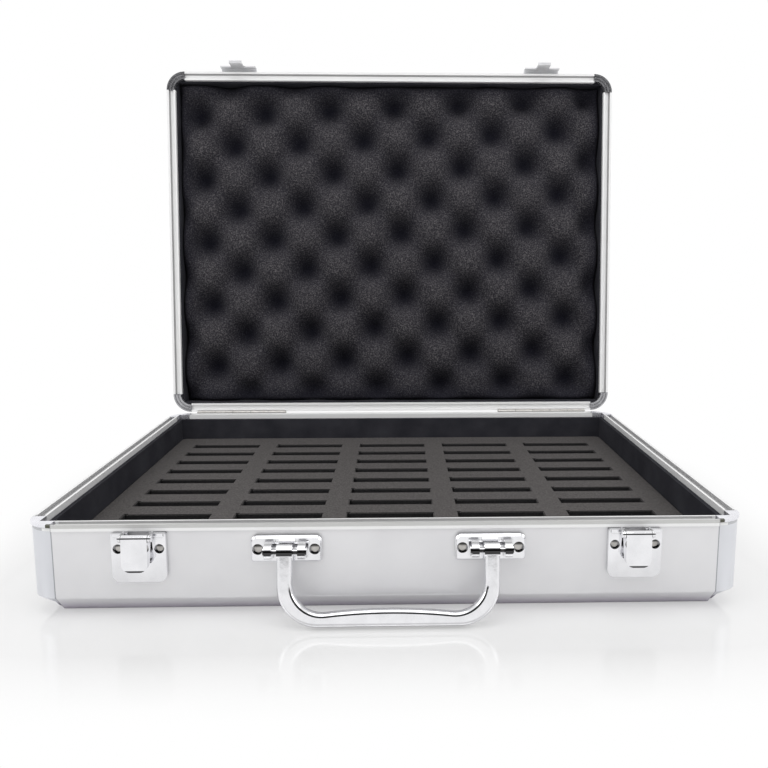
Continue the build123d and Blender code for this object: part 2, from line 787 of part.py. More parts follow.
def bail():
    """The bail at rest: a flat-bottomed loop with a bowed grip, and an eye on top of each arm."""
    outer = bracket_centre + bail_arm_width / 2
    inner = bracket_centre - bail_arm_width / 2
    arm = Rectangle(2 * outer, bail_reach, align=(Align.CENTER, Align.MAX))
    arm = fillet(arm.vertices().sort_by(Axis.Y)[:2], bail_outer_radius)
    floor = bail_end_height - bail_reach
    crown = bail_grip_height - bail_reach
    lines = [
        Line((-inner, 0), (-inner, floor)),
        ThreePointArc((-inner, floor), (0, crown), (inner, floor)),
        Line((inner, floor), (inner, 0)),
        Line((inner, 0), (-inner, 0)),
    ]
    window = make_face(Curve() + lines)
    window = fillet(window.vertices().group_by(Axis.Y)[0], bail_inner_radius)
    loop = arm - window
    body = extrude(Plane.XZ * loop, bail_thickness / 2, both=True)
    faces_apart = bail_thickness / 2
    rims = body.edges().filter_by(lambda edge: edge.center().Z < -bail_edge_radius)
    rims = rims.filter_by(lambda edge: abs(abs(edge.center().Y) - faces_apart) < 0.01)
    body = fillet(rims, bail_edge_radius)
    for side in (-1, 1):
        place = Pos(side * bracket_centre, 0, 0)
        body += place * rod(bail_eye_radius, bail_arm_width)
        body -= place * rod(handle_pin_radius + handle_running_clearance, 2 * bail_arm_width)
    body = body.rotate(Axis.X, -bail_rest_angle)
    return Pos(0, out(handle_pivot_out), handle_pivot_height) * body


handle_rivets = Part()
handle_pins = Part()
for name, x in (("left", -bracket_centre), ("right", bracket_centre)):
    beside = Pos(x, 0, 0)
    nodes[f"handle_bracket_{name}"] = on_side(beside * bracket(), "front")
    handle_pins += on_side(beside * handle_pin(), "front")
    seat_out = out(bracket_thickness - bracket_recess_depth)
    for side in (-1, 1):
        place = beside * Pos(side * bracket_rivet_spacing / 2, seat_out, bracket_rivet_z)
        grip = bracket_thickness - bracket_recess_depth + wall
        handle_rivets += on_side(place * rivet(handle_rivet, grip), "front")
        base_walls["front"] -= place * rivet_hole(handle_rivet)
nodes["handle_pins"] = handle_pins
nodes["handle_rivets"] = handle_rivets
nodes["handle_bail"] = on_side(bail(), "front")

for side in SIDES:
    nodes[f"base_{side}_wall"] = on_side(base_walls[side], side)
for side in ("left", "right"):
    nodes[f"lid_{side}_wall"] = as_lid(on_side(lid_walls[side], side))
nodes["lid_front_wall"] = opened(on_side(lid_front_in_place, "front"))
nodes["lid_rear_wall"] = opened(on_side(lid_rear_in_place, "rear"))

os.makedirs("parts", exist_ok=True)
for name, piece in nodes.items():
    export_step(piece, f"parts/{name}.step")
print(len(nodes), "nodes")
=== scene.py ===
import json
import math

import bmesh
import bpy
import mathutils
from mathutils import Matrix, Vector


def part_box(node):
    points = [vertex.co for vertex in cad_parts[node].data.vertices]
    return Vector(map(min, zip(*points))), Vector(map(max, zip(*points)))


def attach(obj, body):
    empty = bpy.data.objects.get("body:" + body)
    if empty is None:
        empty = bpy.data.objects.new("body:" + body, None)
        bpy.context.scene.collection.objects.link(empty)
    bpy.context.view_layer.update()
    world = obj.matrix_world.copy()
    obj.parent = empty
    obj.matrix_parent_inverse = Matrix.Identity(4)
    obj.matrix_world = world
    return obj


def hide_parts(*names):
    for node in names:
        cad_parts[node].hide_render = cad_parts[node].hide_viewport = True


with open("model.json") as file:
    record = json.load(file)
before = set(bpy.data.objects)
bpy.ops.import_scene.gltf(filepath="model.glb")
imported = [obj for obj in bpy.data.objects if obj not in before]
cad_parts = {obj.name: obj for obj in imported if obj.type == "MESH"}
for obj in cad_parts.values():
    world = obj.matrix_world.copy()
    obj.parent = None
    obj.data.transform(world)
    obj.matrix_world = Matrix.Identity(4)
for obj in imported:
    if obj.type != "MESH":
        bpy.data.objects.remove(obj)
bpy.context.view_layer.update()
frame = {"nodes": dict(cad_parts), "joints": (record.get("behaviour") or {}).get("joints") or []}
scene = bpy.context.scene
scene.view_settings.view_transform = "Standard"


# The camera stands in front of the box, a little above its rim, as the photographer did.
# Its place and lens come from the box's own edges in the photograph.
camera_place = (0.00537, -0.57824, 0.20124)
camera_pitch_down = 8.886
camera_turn_right = 1.559
camera_roll = -0.025
image_side = 768
focal_pixels = 807.39
axis_pixel = (419.74, 376.20)
sensor_width = 36
nearest_seen = 0.01
camera_data = bpy.data.cameras.new("camera")
camera_data.sensor_width = sensor_width
camera_data.lens = sensor_width * focal_pixels / image_side
camera_data.shift_x = (image_side / 2 - axis_pixel[0]) / image_side
camera_data.shift_y = (axis_pixel[1] - image_side / 2) / image_side
camera_data.clip_start = nearest_seen
camera = bpy.data.objects.new("camera", camera_data)
camera.location = camera_place
camera.rotation_euler = (
    math.radians(90 - camera_pitch_down), math.radians(camera_roll),
    math.radians(-camera_turn_right))
scene.collection.objects.link(camera)
scene.camera = camera


# The studio is a white tent with a soft dark opening on the photographer's side, which the plated
# parts mirror as thin dark lines. Whoever looks straight at the tent sees plain white, and what
# it sheds on matt surfaces is a little weaker.
def put(tree, value, socket):
    """Links an output into a socket, or gives the socket a plain number or colour."""
    if isinstance(value, bpy.types.NodeSocket):
        tree.links.new(value, socket)
    elif isinstance(value, tuple):
        socket.default_value = (*value, 1)
    else:
        socket.default_value = value


def combined(tree, operation, first, second=0.0):
    """Two values, each a socket or a plain number, joined by a Math node."""
    node = tree.nodes.new("ShaderNodeMath")
    node.operation = operation
    put(tree, first, node.inputs[0])
    put(tree, second, node.inputs[1])
    return node.outputs[0]


def product(tree, first, *others):
    """Several values multiplied together."""
    for other in others:
        first = combined(tree, "MULTIPLY", first, other)
    return first


def smooth_step(tree, value, start, stop):
    """A value that rises softly from 0 at start to 1 at stop."""
    node = tree.nodes.new("ShaderNodeMapRange")
    node.interpolation_type = "SMOOTHSTEP"
    node.inputs["From Min"].default_value = start
    node.inputs["From Max"].default_value = stop
    tree.links.new(value, node.inputs["Value"])
    return node.outputs["Result"]


def mixed(tree, factor, first, second, blend="MIX"):
    """A colour that runs from the first to the second with a factor."""
    node = tree.nodes.new("ShaderNodeMix")
    node.data_type = "RGBA"
    node.blend_type = blend
    put(tree, factor, node.inputs["Factor"])
    put(tree, first, node.inputs["A"])
    put(tree, second, node.inputs["B"])
    return node.outputs["Result"]


def split_axes(tree, vector):
    """The X, Y and Z of a vector."""
    node = tree.nodes.new("ShaderNodeSeparateXYZ")
    tree.links.new(vector, node.inputs[0])
    return node.outputs["X"], node.outputs["Y"], node.outputs["Z"]


tent_dark = 0.02
tent_light = 0.68
opening_heights = (0.02, 0.10, 0.62, 0.74)
opening_sides = (0.50, 0.78)
world = bpy.data.worlds.new("studio")
scene.world = world
world.use_nodes = True
tree = world.node_tree
direction = tree.nodes.new("ShaderNodeTexCoord")
_, forward, upward = split_axes(tree, direction.outputs["Generated"])
above = smooth_step(tree, upward, *opening_heights[:2])
below = smooth_step(tree, upward, *opening_heights[:1:-1])
facing = smooth_step(tree, combined(tree, "MULTIPLY", forward, -1), *opening_sides)
rays = tree.nodes.new("ShaderNodeLightPath")
mirrored = product(tree, above, below, facing, rays.outputs["Is Glossy Ray"])
colour = mixed(tree, mirrored, (1, 1, 1), (tent_dark, tent_dark, tent_dark))
tree.links.new(colour, tree.nodes["Background"].inputs["Color"])
dimmed = combined(tree, "MULTIPLY", rays.outputs["Is Diffuse Ray"], tent_light - 1)
strength = combined(tree, "ADD", dimmed, 1.0)
tree.links.new(strength, tree.nodes["Background"].inputs["Strength"])

lamp_target = mathutils.Vector((0, 0, 0.1))
for name, place, size, watts in (
        ("top_lamp", (0, -0.45, 1.7), 1.2, 8),
        ("left_lamp", (-1.5, -0.8, 0.9), 1.0, 6),
        ("right_lamp", (1.5, -0.8, 0.9), 1.0, 5.5)):
    lamp_data = bpy.data.lights.new(name, "AREA")
    lamp_data.energy = watts
    lamp_data.size = size
    lamp = bpy.data.objects.new(name, lamp_data)
    lamp.location = place
    aim = lamp_target - mathutils.Vector(place)
    lamp.rotation_euler = aim.to_track_quat("-Z", "Y").to_euler()
    scene.collection.objects.link(lamp)


# The floor is a sheet of white acrylic: it keeps the box's soft shadow and a faint reflection,
# and turns into plain white where it runs out of the light.
def new_material(name):
    """A material, with its node tree and its Principled shader."""
    material = bpy.data.materials.new(name)
    material.use_nodes = True
    tree = material.node_tree
    return material, tree, tree.nodes["Principled BSDF"]


def vector_step(tree, operation, vector, other=(0, 0, 0)):
    """The outputs of a Vector Math node, fed with a vector and with plain numbers."""
    node = tree.nodes.new("ShaderNodeVectorMath")
    node.operation = operation
    tree.links.new(vector, node.inputs[0])
    node.inputs[1].default_value = other
    return node.outputs


floor_half = 4.0
floor_white = 0.82
floor_roughness = 0.5
floor_reflection = 0.26
reflection_blur = 0.12
floor_lift = 0.38
light_pool = (0.17, 0.13, 0)
white_from = 0.02
white_at = 0.13
floor_mesh = bpy.data.meshes.new("floor")
floor_mesh.from_pydata(
    [(-floor_half, -floor_half, 0), (floor_half, -floor_half, 0),
     (floor_half, floor_half, 0), (-floor_half, floor_half, 0)], [], [(0, 1, 2, 3)])
floor = bpy.data.objects.new("floor", floor_mesh)
scene.collection.objects.link(floor)
acrylic, tree, shader = new_material("white_acrylic")
shader.inputs["Base Color"].default_value = (floor_white, floor_white, floor_white, 1)
shader.inputs["Roughness"].default_value = floor_roughness
shader.inputs["Specular IOR Level"].default_value = 0.0
mirror = tree.nodes.new("ShaderNodeBsdfGlossy")
mirror.inputs["Roughness"].default_value = reflection_blur
gloss = tree.nodes.new("ShaderNodeMixShader")
gloss.inputs["Fac"].default_value = floor_reflection
tree.links.new(shader.outputs[0], gloss.inputs[1])
tree.links.new(mirror.outputs[0], gloss.inputs[2])
glow = tree.nodes.new("ShaderNodeEmission")
place = tree.nodes.new("ShaderNodeTexCoord")
from_middle = vector_step(tree, "ABSOLUTE", place.outputs["Object"])["Vector"]
beyond = vector_step(tree, "SUBTRACT", from_middle, light_pool)["Vector"]
outside = vector_step(tree, "MAXIMUM", beyond)["Vector"]
distance = vector_step(tree, "LENGTH", outside)["Value"]
far = smooth_step(tree, distance, white_from, white_at)
rays = tree.nodes.new("ShaderNodeLightPath")
looked_at = combined(tree, "MULTIPLY", rays.outputs["Is Camera Ray"], floor_lift)
near_lift = combined(tree, "MAXIMUM", looked_at, far)
seen = combined(tree, "MAXIMUM", rays.outputs["Is Camera Ray"], rays.outputs["Is Glossy Ray"])
lit = tree.nodes.new("ShaderNodeMixShader")
tree.links.new(product(tree, near_lift, seen), lit.inputs["Fac"])
tree.links.new(gloss.outputs[0], lit.inputs[1])
tree.links.new(glow.outputs[0], lit.inputs[2])
tree.links.new(lit.outputs[0], tree.nodes["Material Output"].inputs["Surface"])
floor_mesh.materials.append(acrylic)


# Two effects that several finishes share: a fine speckle, for foams, cloth and the grain of
# metal, and soft worn patches, for aluminium, plated steel and cloth. Both stay fixed to the
# object.
def effect_group(name, inputs, outputs):
    """An empty node group with named float sockets, and what goes into it and out of it."""
    tree = bpy.data.node_groups.new(name, "ShaderNodeTree")
    for labels, side in ((inputs, "INPUT"), (outputs, "OUTPUT")):
        for label in labels:
            tree.interface.new_socket(label, in_out=side, socket_type="NodeSocketFloat")
    start = tree.nodes.new("NodeGroupInput")
    end = tree.nodes.new("NodeGroupOutput")
    return tree, start.outputs, end.inputs


def sized_texture(tree, size, kind):
    """A texture node of one kind, fixed to the object, with grains of a size."""
    coordinates = tree.nodes.new("ShaderNodeTexCoord")
    texture = tree.nodes.new(kind)
    tree.links.new(coordinates.outputs["Object"], texture.inputs["Vector"])
    tree.links.new(combined(tree, "DIVIDE", 1.0, size), texture.inputs["Scale"])
    return texture


def stretched(tree, value, low, high):
    """A Map Range node that spreads what lies from low to high."""
    node = tree.nodes.new("ShaderNodeMapRange")
    node.inputs["From Min"].default_value = low
    node.inputs["From Max"].default_value = high
    tree.links.new(value, node.inputs["Value"])
    return node


speckle_detail = 2.0
speckle_fineness = 0.6
speckle_range = (0.35, 0.72)
speckle_group, start, end = effect_group(
    "foam_speckle", ["Size", "Contrast"], ["Speckle", "Cells"])
fine = sized_texture(speckle_group, start["Size"], "ShaderNodeTexNoise")
fine.inputs["Detail"].default_value = speckle_detail
fine.inputs["Roughness"].default_value = speckle_fineness
spread = stretched(speckle_group, fine.outputs["Fac"], *speckle_range)
power = combined(speckle_group, "POWER", spread.outputs["Result"], start["Contrast"])
speckle_group.links.new(power, end["Speckle"])
cells = sized_texture(speckle_group, start["Size"], "ShaderNodeTexVoronoi")
speckle_group.links.new(cells.outputs["Distance"], end["Cells"])

patch_detail = 5.0
patch_range = (0.3, 0.7)
patch_group, start, end = effect_group("worn_patches", ["Size", "Low", "High"], ["Value"])
cloud = sized_texture(patch_group, start["Size"], "ShaderNodeTexNoise")
cloud.inputs["Detail"].default_value = patch_detail
spread = stretched(patch_group, cloud.outputs["Fac"], *patch_range)
patch_group.links.new(start["Low"], spread.inputs["To Min"])
patch_group.links.new(start["High"], spread.inputs["To Max"])
patch_group.links.new(spread.outputs["Result"], end["Value"])


def effect(tree, group, **values):
    """The outputs of an effect group, placed in a material with its own values."""
    node = tree.nodes.new("ShaderNodeGroup")
    node.node_tree = group
    for label, value in values.items():
        node.inputs[label].default_value = value
    return node.outputs


def speckled(tree, size, contrast=1.0):
    """The fine speckle, as a value."""
    return effect(tree, speckle_group, Size=size, Contrast=contrast)["Speckle"]


def patchy(tree, size, low=0.0, high=1.0):
    """The soft patches, as a value between low and high."""
    return effect(tree, patch_group, Size=size, Low=low, High=high)["Value"]


def bumped(tree, shader, height, distance, strength):
    """Feeds a height into the shader's Normal through a Bump node."""
    bump = tree.nodes.new("ShaderNodeBump")
    bump.inputs["Distance"].default_value = distance
    bump.inputs["Strength"].default_value = strength
    tree.links.new(height, bump.inputs["Height"])
    tree.links.new(bump.outputs["Normal"], shader.inputs["Normal"])


def finish_nodes(names, material):
    """Gives CAD nodes their finish."""
    for name in names:
        data = frame["nodes"][name].data
        data.materials.clear()
        data.materials.append(material)


# The shell is extruded aluminium, satin anodised: four sides and four corner posts for the base
# and as many for the lid. Its rims are bright; painted shade greys the groove behind the outer lip,
# and on the base the step under it, and darkens the seams beside the posts and the inner corners.
# A painted shadow darkens the foot of the base.
# Painted shade for inner corners: an occlusion pass darkens the colour within a reach of them.
crevice_range = (0.25, 0.85)
crevice_samples = 4
crevice_shade_group, start, end = effect_group("crevices", ["Reach", "Depth"], ["Light"])
occlusion = crevice_shade_group.nodes.new("ShaderNodeAmbientOcclusion")
occlusion.samples = crevice_samples
crevice_shade_group.links.new(start["Reach"], occlusion.inputs["Distance"])
spread = stretched(crevice_shade_group, occlusion.outputs["AO"], *crevice_range)
darkest = combined(crevice_shade_group, "SUBTRACT", 1.0, start["Depth"])
crevice_shade_group.links.new(darkest, spread.inputs["To Min"])
crevice_shade_group.links.new(spread.outputs["Result"], end["Light"])

case_width = 0.400
case_depth = 0.305
rim_plane = 0.0538
rim_height = 0.004
lip_skin = 0.0002
face_skin = 0.0001
outer_lip = 0.0018
corner_radius = 0.016
seam_half_width = 0.0003
step_height = 0.0024
shaded_groove_until = 0.14
foot_shade_from = 0.0095
lid_hinge = next(joint for joint in frame["joints"] if joint["name"] == "lid_hinge")
hinge_point = mathutils.Vector(lid_hinge["pos_m"])
open_angle = math.radians(lid_hinge["range_deg"][1])


def shaded(tree, colour, factor):
    """A colour multiplied by a factor, or by another colour."""
    return mixed(tree, 1.0, colour, factor, "MULTIPLY")


def with_crevice_shade(tree, colour, reach, depth):
    """A colour darkened by painted shade, by up to a depth, within reach of an inner corner."""
    return shaded(tree, colour, effect(tree, crevice_shade_group, Reach=reach, Depth=depth)["Light"])


# The rail marks: the rims' bright lips, and where painted shade goes on the groove, the step and the
# seams, and painted shadow at the foot.
rail_group, start, end = effect_group(
    "rail_lips_and_painted_shade", ["Opened", "Shade to"], ["Lips", "Groove", "Seam", "Step", "Foot"])
tree = rail_group
place = tree.nodes.new("ShaderNodeTexCoord")
closed = tree.nodes.new("ShaderNodeVectorRotate")
closed.rotation_type = "X_AXIS"
closed.inputs["Center"].default_value = hinge_point
tree.links.new(place.outputs["Object"], closed.inputs["Vector"])
tree.links.new(start["Opened"], closed.inputs["Angle"])
_, closed_y, _ = split_axes(tree, closed.outputs["Vector"])
folded = vector_step(tree, "ABSOLUTE", closed.outputs["Vector"])["Vector"]
side_x, side_y, height = split_axes(tree, folded)
from_side = combined(tree, "SUBTRACT", case_width / 2, side_x)
from_front = combined(tree, "SUBTRACT", case_depth / 2, side_y)
inward = combined(tree, "MINIMUM", from_side, from_front)
off_plane = combined(tree, "ABSOLUTE", combined(tree, "SUBTRACT", height, rim_plane))
in_rim = combined(tree, "LESS_THAN", off_plane, rim_height)
below_lips = combined(tree, "GREATER_THAN", off_plane, lip_skin)
past_outer = combined(tree, "GREATER_THAN", inward, outer_lip - face_skin)
before_inner = combined(tree, "LESS_THAN", inward, start["Shade to"])
off_rear = combined(tree, "LESS_THAN", closed_y, shaded_groove_until)
groove = product(tree, past_outer, before_inner, below_lips, in_rim, off_rear)
tree.links.new(groove, end["Groove"])
tree.links.new(combined(tree, "SUBTRACT", in_rim, groove), end["Lips"])
on_face = combined(tree, "LESS_THAN", inward, face_skin)
on_front = combined(tree, "LESS_THAN", from_front, outer_lip)
on_outside = combined(tree, "MAXIMUM", on_face, on_front)
near_top = combined(tree, "LESS_THAN", off_plane, step_height)
tree.links.new(product(tree, on_outside, off_rear, near_top), end["Step"])
tree.links.new(smooth_step(tree, height, foot_shade_from, 0.0), end["Foot"])
seams = []
for along, extent, inside in ((side_x, case_width, from_front), (side_y, case_depth, from_side)):
    off_seam = combined(tree, "SUBTRACT", along, extent / 2 - corner_radius)
    off_seam = combined(tree, "ABSOLUTE", off_seam)
    near_seam = combined(tree, "LESS_THAN", off_seam, seam_half_width)
    near_corner = combined(tree, "LESS_THAN", inside, corner_radius)
    seams.append(product(tree, near_seam, near_corner))
tree.links.new(combined(tree, "MAXIMUM", *seams), end["Seam"])

satin_metallic = 0.5
lip_metallic = 0.1


def anodised_shell(name, opened, shade_to, lip, dark, light, shades):
    """The satin aluminium of one shell, with its bright lips and its painted shades turned back to
    the closed case.
    """
    material, tree, shader = new_material(name)
    marks = effect(tree, rail_group, **{"Opened": opened, "Shade to": shade_to})
    satin = mixed(tree, patchy(tree, size=0.035), dark, light)
    colour = mixed(tree, marks["Lips"], satin, (lip, lip, lip))
    colour = with_crevice_shade(tree, colour, reach=0.0018, depth=0.15)
    for mark, shade in shades.items():
        colour = shaded(tree, colour, mixed(tree, marks[mark], (1, 1, 1), shade))
    tree.links.new(colour, shader.inputs["Base Color"])
    change = combined(tree, "MULTIPLY", marks["Lips"], lip_metallic - satin_metallic)
    metallic = combined(tree, "ADD", change, satin_metallic)
    tree.links.new(metallic, shader.inputs["Metallic"])
    roughness = patchy(tree, size=0.012, low=0.36, high=0.44)
    tree.links.new(roughness, shader.inputs["Roughness"])
    bumped(tree, shader, speckled(tree, size=0.0007), distance=0.00002, strength=0.35)
    return material


satin_side = ((0.765, 0.762, 0.778), (0.815, 0.812, 0.825))
satin_post = ((0.69, 0.70, 0.735), (0.74, 0.75, 0.785))
base_shade_to = 0.0061
base_lip = 0.90
lid_shade_to = 0.0030
lid_lip = 0.97
seam_shade = (0.50, 0.50, 0.52)
# Painted shade on the groove, the step and the seams, and a violet-grey painted shadow at the foot.
base_shades = {
    "Groove": (0.74, 0.74, 0.73), "Step": (0.66, 0.66, 0.65),
    "Foot": (0.79, 0.75, 0.83), "Seam": seam_shade}
lid_shades = {"Groove": (0.72, 0.72, 0.71), "Seam": seam_shade}
for shell, opened, shade_to, lip, shades in (
        ("base", 0.0, base_shade_to, base_lip, base_shades),
        ("lid", open_angle, lid_shade_to, lid_lip, lid_shades)):
    for group, ending, satin in (("sides", "_wall", satin_side), ("posts", "_post_", satin_post)):
        members = [
            name for name in frame["nodes"] if name.startswith(shell) and ending in name]
        finish_nodes(members, anodised_shell(
            f"satin_{shell}_{group}", opened, shade_to, lip, *satin, shades))


# The corners of the rims are small castings, nickel plated: bright on the base, and on the lid a
# copy painted duller and greyer as a painted reflection of the dark they mirror. Painted shade
# darkens their inner corners and, on the base's front corners, the pocket at the end of the rail.
pocket_past_seam = 0.0026
pocket_back = 0.0020
pocket_height = 0.0030
casting_metallic = 0.8


def starting(*starts):
    """The names of the CAD nodes that start with one of these words."""
    return [name for name in frame["nodes"] if name.startswith(starts)]


def object_axes(tree):
    """The X, Y and Z of a place on the object."""
    place = tree.nodes.new("ShaderNodeTexCoord")
    return split_axes(tree, place.outputs["Object"])


def nickel_casting(name, dark, light, pocket_shade=None):
    """Cast and plated metal with a slightly uneven skin, painted shade in its inner corners and, with
    a shade for it, painted shade in a pocket.
    """
    material, tree, shader = new_material(name)
    colour = mixed(tree, patchy(tree, size=0.006), dark, light)
    if pocket_shade:
        x, y, z = object_axes(tree)
        seam = case_width / 2 - corner_radius
        pocket = product(
            tree,
            combined(tree, "LESS_THAN", combined(tree, "ABSOLUTE", x), seam + pocket_past_seam),
            combined(tree, "LESS_THAN", y, pocket_back - case_depth / 2),
            combined(tree, "GREATER_THAN", z, rim_plane - pocket_height))
        colour = shaded(tree, colour, mixed(tree, pocket, (1, 1, 1), pocket_shade))
    colour = with_crevice_shade(tree, colour, reach=0.002, depth=0.5)
    tree.links.new(colour, shader.inputs["Base Color"])
    shader.inputs["Metallic"].default_value = casting_metallic
    roughness = patchy(tree, size=0.004, low=0.20, high=0.34)
    tree.links.new(roughness, shader.inputs["Roughness"])
    return material


finish_nodes(starting("base_rim_corner_"), nickel_casting(
    "bright_nickel_casting", dark=(0.74, 0.74, 0.78), light=(0.86, 0.86, 0.90),
    pocket_shade=(0.12, 0.12, 0.09)))
# Painted reflection: the lid's castings are a darker, greyer copy of the nickel, for the dark they
# mirror.
finish_nodes(starting("lid_rim_corner_"), nickel_casting(
    "nickel_casting_painted_darker", dark=(0.40, 0.40, 0.42), light=(0.55, 0.55, 0.57)))


# The two panels are sheets of fine-grained aluminium board, one under the base and one on the
# lid. Each lies flush between the flanges of the four sides that hold it.
board_dark = (0.62, 0.62, 0.63)
board_light = (0.70, 0.70, 0.71)
board_metallic = 0.9
board, tree, shader = new_material("panel_sheet")
colour = mixed(tree, patchy(tree, size=0.05), board_dark, board_light)
tree.links.new(colour, shader.inputs["Base Color"])
shader.inputs["Metallic"].default_value = board_metallic
tree.links.new(patchy(tree, size=0.02, low=0.42, high=0.52), shader.inputs["Roughness"])
grain = effect(tree, speckle_group, Size=0.0012)["Cells"]
bumped(tree, shader, grain, distance=0.00015, strength=0.5)
finish_nodes(["bottom_panel", "lid_panel"], board)


# Latches, keepers and the handle are bright plated steel; small waves in the plating break up
# what they mirror. Painted shade darkens their crevices and where they meet the shell. The
# handle's ears have a painted reflection, a dark band at the height of their pins, and the levers
# painted shade along their lower edges.
plating_dark = (0.78, 0.78, 0.80)
plating_light = (0.87, 0.87, 0.89)
band_shade = 0.93
band_softness = 0.0004


def less(tree, mask, amount):
    """One less a share of a mask."""
    return combined(tree, "SUBTRACT", 1.0, combined(tree, "MULTIPLY", mask, amount))


def bright_plating(name, metallic=1.0, reach=0.0022, depth=0.6, band=None):
    """Polished plating, with painted shade in its crevices and a painted dark band (lowest, highest,
    farthest back).
    """
    material, tree, shader = new_material(name)
    colour = mixed(tree, patchy(tree, size=0.01), plating_dark, plating_light)
    colour = with_crevice_shade(tree, colour, reach, depth)
    if band:
        lowest, highest, farthest = band
        _, y, z = object_axes(tree)
        in_band = product(
            tree,
            smooth_step(tree, z, lowest, lowest + band_softness),
            smooth_step(tree, z, highest, highest - band_softness),
            smooth_step(tree, y, farthest, farthest - band_softness))
        colour = shaded(tree, colour, less(tree, in_band, band_shade))
    tree.links.new(colour, shader.inputs["Base Color"])
    shader.inputs["Metallic"].default_value = metallic
    tree.links.new(patchy(tree, size=0.006, low=0.05, high=0.13), shader.inputs["Roughness"])
    bumped(tree, shader, patchy(tree, size=0.008), distance=0.00008, strength=0.35)
    return material


# Painted reflection on the handle's ears: a dark band at the height of their pins. Painted shade on
# the levers: a dark band along their lower edges.
ear_band_below = 0.0012
ear_band_above = 0.0018
ear_band_before = 0.0010
lever_band_height = 0.0014
lever_band_behind = 0.001
finish_nodes(starting("latch_plate_", "lever_pins"), bright_plating("bright_plating"))
pin_low, pin_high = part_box("handle_pins")
pin_middle = (pin_low + pin_high) / 2
finish_nodes(starting("handle_"), bright_plating("handle_plating", band=(
    pin_middle.z - ear_band_below, pin_middle.z + ear_band_above,
    pin_middle.y - ear_band_before)))
finish_nodes(
    ["keeper_left", "keeper_right"],
    bright_plating("keeper_plating", metallic=0.1, reach=0.0016, depth=0.9))
for side in ("left", "right"):
    lever_low, lever_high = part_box(f"latch_lever_{side}")
    finish_nodes([f"latch_lever_{side}"], bright_plating(f"lever_plating_{side}", band=(
        0.0, lever_low.z + lever_band_height, lever_high.y + lever_band_behind)))


# Hinge leaves, pins and all the rivets are plain plated steel, softer in their shine, with
# painted shade in their crevices. The rivets of the latches and the handle are sunk in cups, and
# painted shade darkens the upper half of each.
steel_dark = (0.52, 0.50, 0.48)
steel_light = (0.68, 0.66, 0.63)
steel_metallic = 0.6
cup_shade = 0.88
cup_shade_above_middle = 0.0002
cup_shade_softness = 0.0012


def plain_steel(name, shade_from=None):
    """Plated steel with a soft shine, with painted shade in its crevices and above a height where one
    is given.
    """
    material, tree, shader = new_material(name)
    colour = mixed(tree, patchy(tree, size=0.004), steel_dark, steel_light)
    colour = with_crevice_shade(tree, colour, reach=0.0012, depth=0.7)
    if shade_from is not None:
        _, _, z = object_axes(tree)
        upper = smooth_step(tree, z, shade_from, shade_from + cup_shade_softness)
        colour = shaded(tree, colour, less(tree, upper, cup_shade))
    tree.links.new(colour, shader.inputs["Base Color"])
    shader.inputs["Metallic"].default_value = steel_metallic
    tree.links.new(patchy(tree, size=0.003, low=0.30, high=0.45), shader.inputs["Roughness"])
    return material


finish_nodes(starting("hinge_", "keeper_rivets"), plain_steel("plain_plated_steel"))
for name in ("latch_rivets", "handle_rivets"):
    low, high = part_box(name)
    shade_from = (low.z + high.z) / 2 + cup_shade_above_middle
    finish_nodes([name], plain_steel(f"sunk_{name}_steel", shade_from))


# The linings are thin boards covered in black cloth, glued inside the walls under the rims:
# four in the base, round the tray, and four in the lid, round its foam.
cloth_dark = (0.018, 0.018, 0.024)
cloth_light = (0.036, 0.036, 0.044)
cloth, tree, shader = new_material("black_lining_cloth")
colour = mixed(tree, patchy(tree, size=0.02), cloth_dark, cloth_light)
tree.links.new(colour, shader.inputs["Base Color"])
shader.inputs["Roughness"].default_value = 0.9
shader.inputs["Specular IOR Level"].default_value = 0.25
bumped(tree, shader, speckled(tree, size=0.0006), distance=0.0003, strength=0.6)
finish_nodes([name for name in frame["nodes"] if name.endswith("_lining")], cloth)


# The tray is a block of dark grey closed-cell foam, die cut with rows of slots that run through
# to the underlay. Each cut overshoots a little at its left rear corner, as the knife left it.
def foam_finish(name, size, contrast, dark, light, roughness, distance, strength):
    """Foam whose small cells speckle its colour and roughen its surface."""
    material, tree, shader = new_material(name)
    speckle = speckled(tree, size, contrast)
    tree.links.new(mixed(tree, speckle, dark, light), shader.inputs["Base Color"])
    shader.inputs["Roughness"].default_value = roughness
    bumped(tree, shader, speckle, distance, strength)
    return material


def new_piece(name, mesh_data, body, *materials):
    """Links a finished bmesh as a piece that rides on a body."""
    mesh = bpy.data.meshes.new(name)
    bmesh.ops.recalc_face_normals(mesh_data, faces=mesh_data.faces)
    mesh_data.to_mesh(mesh)
    mesh_data.free()
    for material in materials:
        mesh.materials.append(material)
    piece = bpy.data.objects.new(name, mesh)
    scene.collection.objects.link(piece)
    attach(piece, body)
    return piece


tray_skin = foam_finish(
    "tray_foam_skin", size=0.0009, contrast=1.0, dark=(0.048, 0.044, 0.043),
    light=(0.118, 0.109, 0.107), roughness=0.85, distance=0.0002, strength=0.5)
# Painted shade: the slot walls take a far darker copy of the foam, for the depth of the slots.
slot_wall_shade = foam_finish(
    "slot_wall_painted_shade", size=0.0008, contrast=1.4, dark=(0.006, 0.006, 0.007),
    light=(0.022, 0.021, 0.022), roughness=1.0, distance=0.0003, strength=0.7)

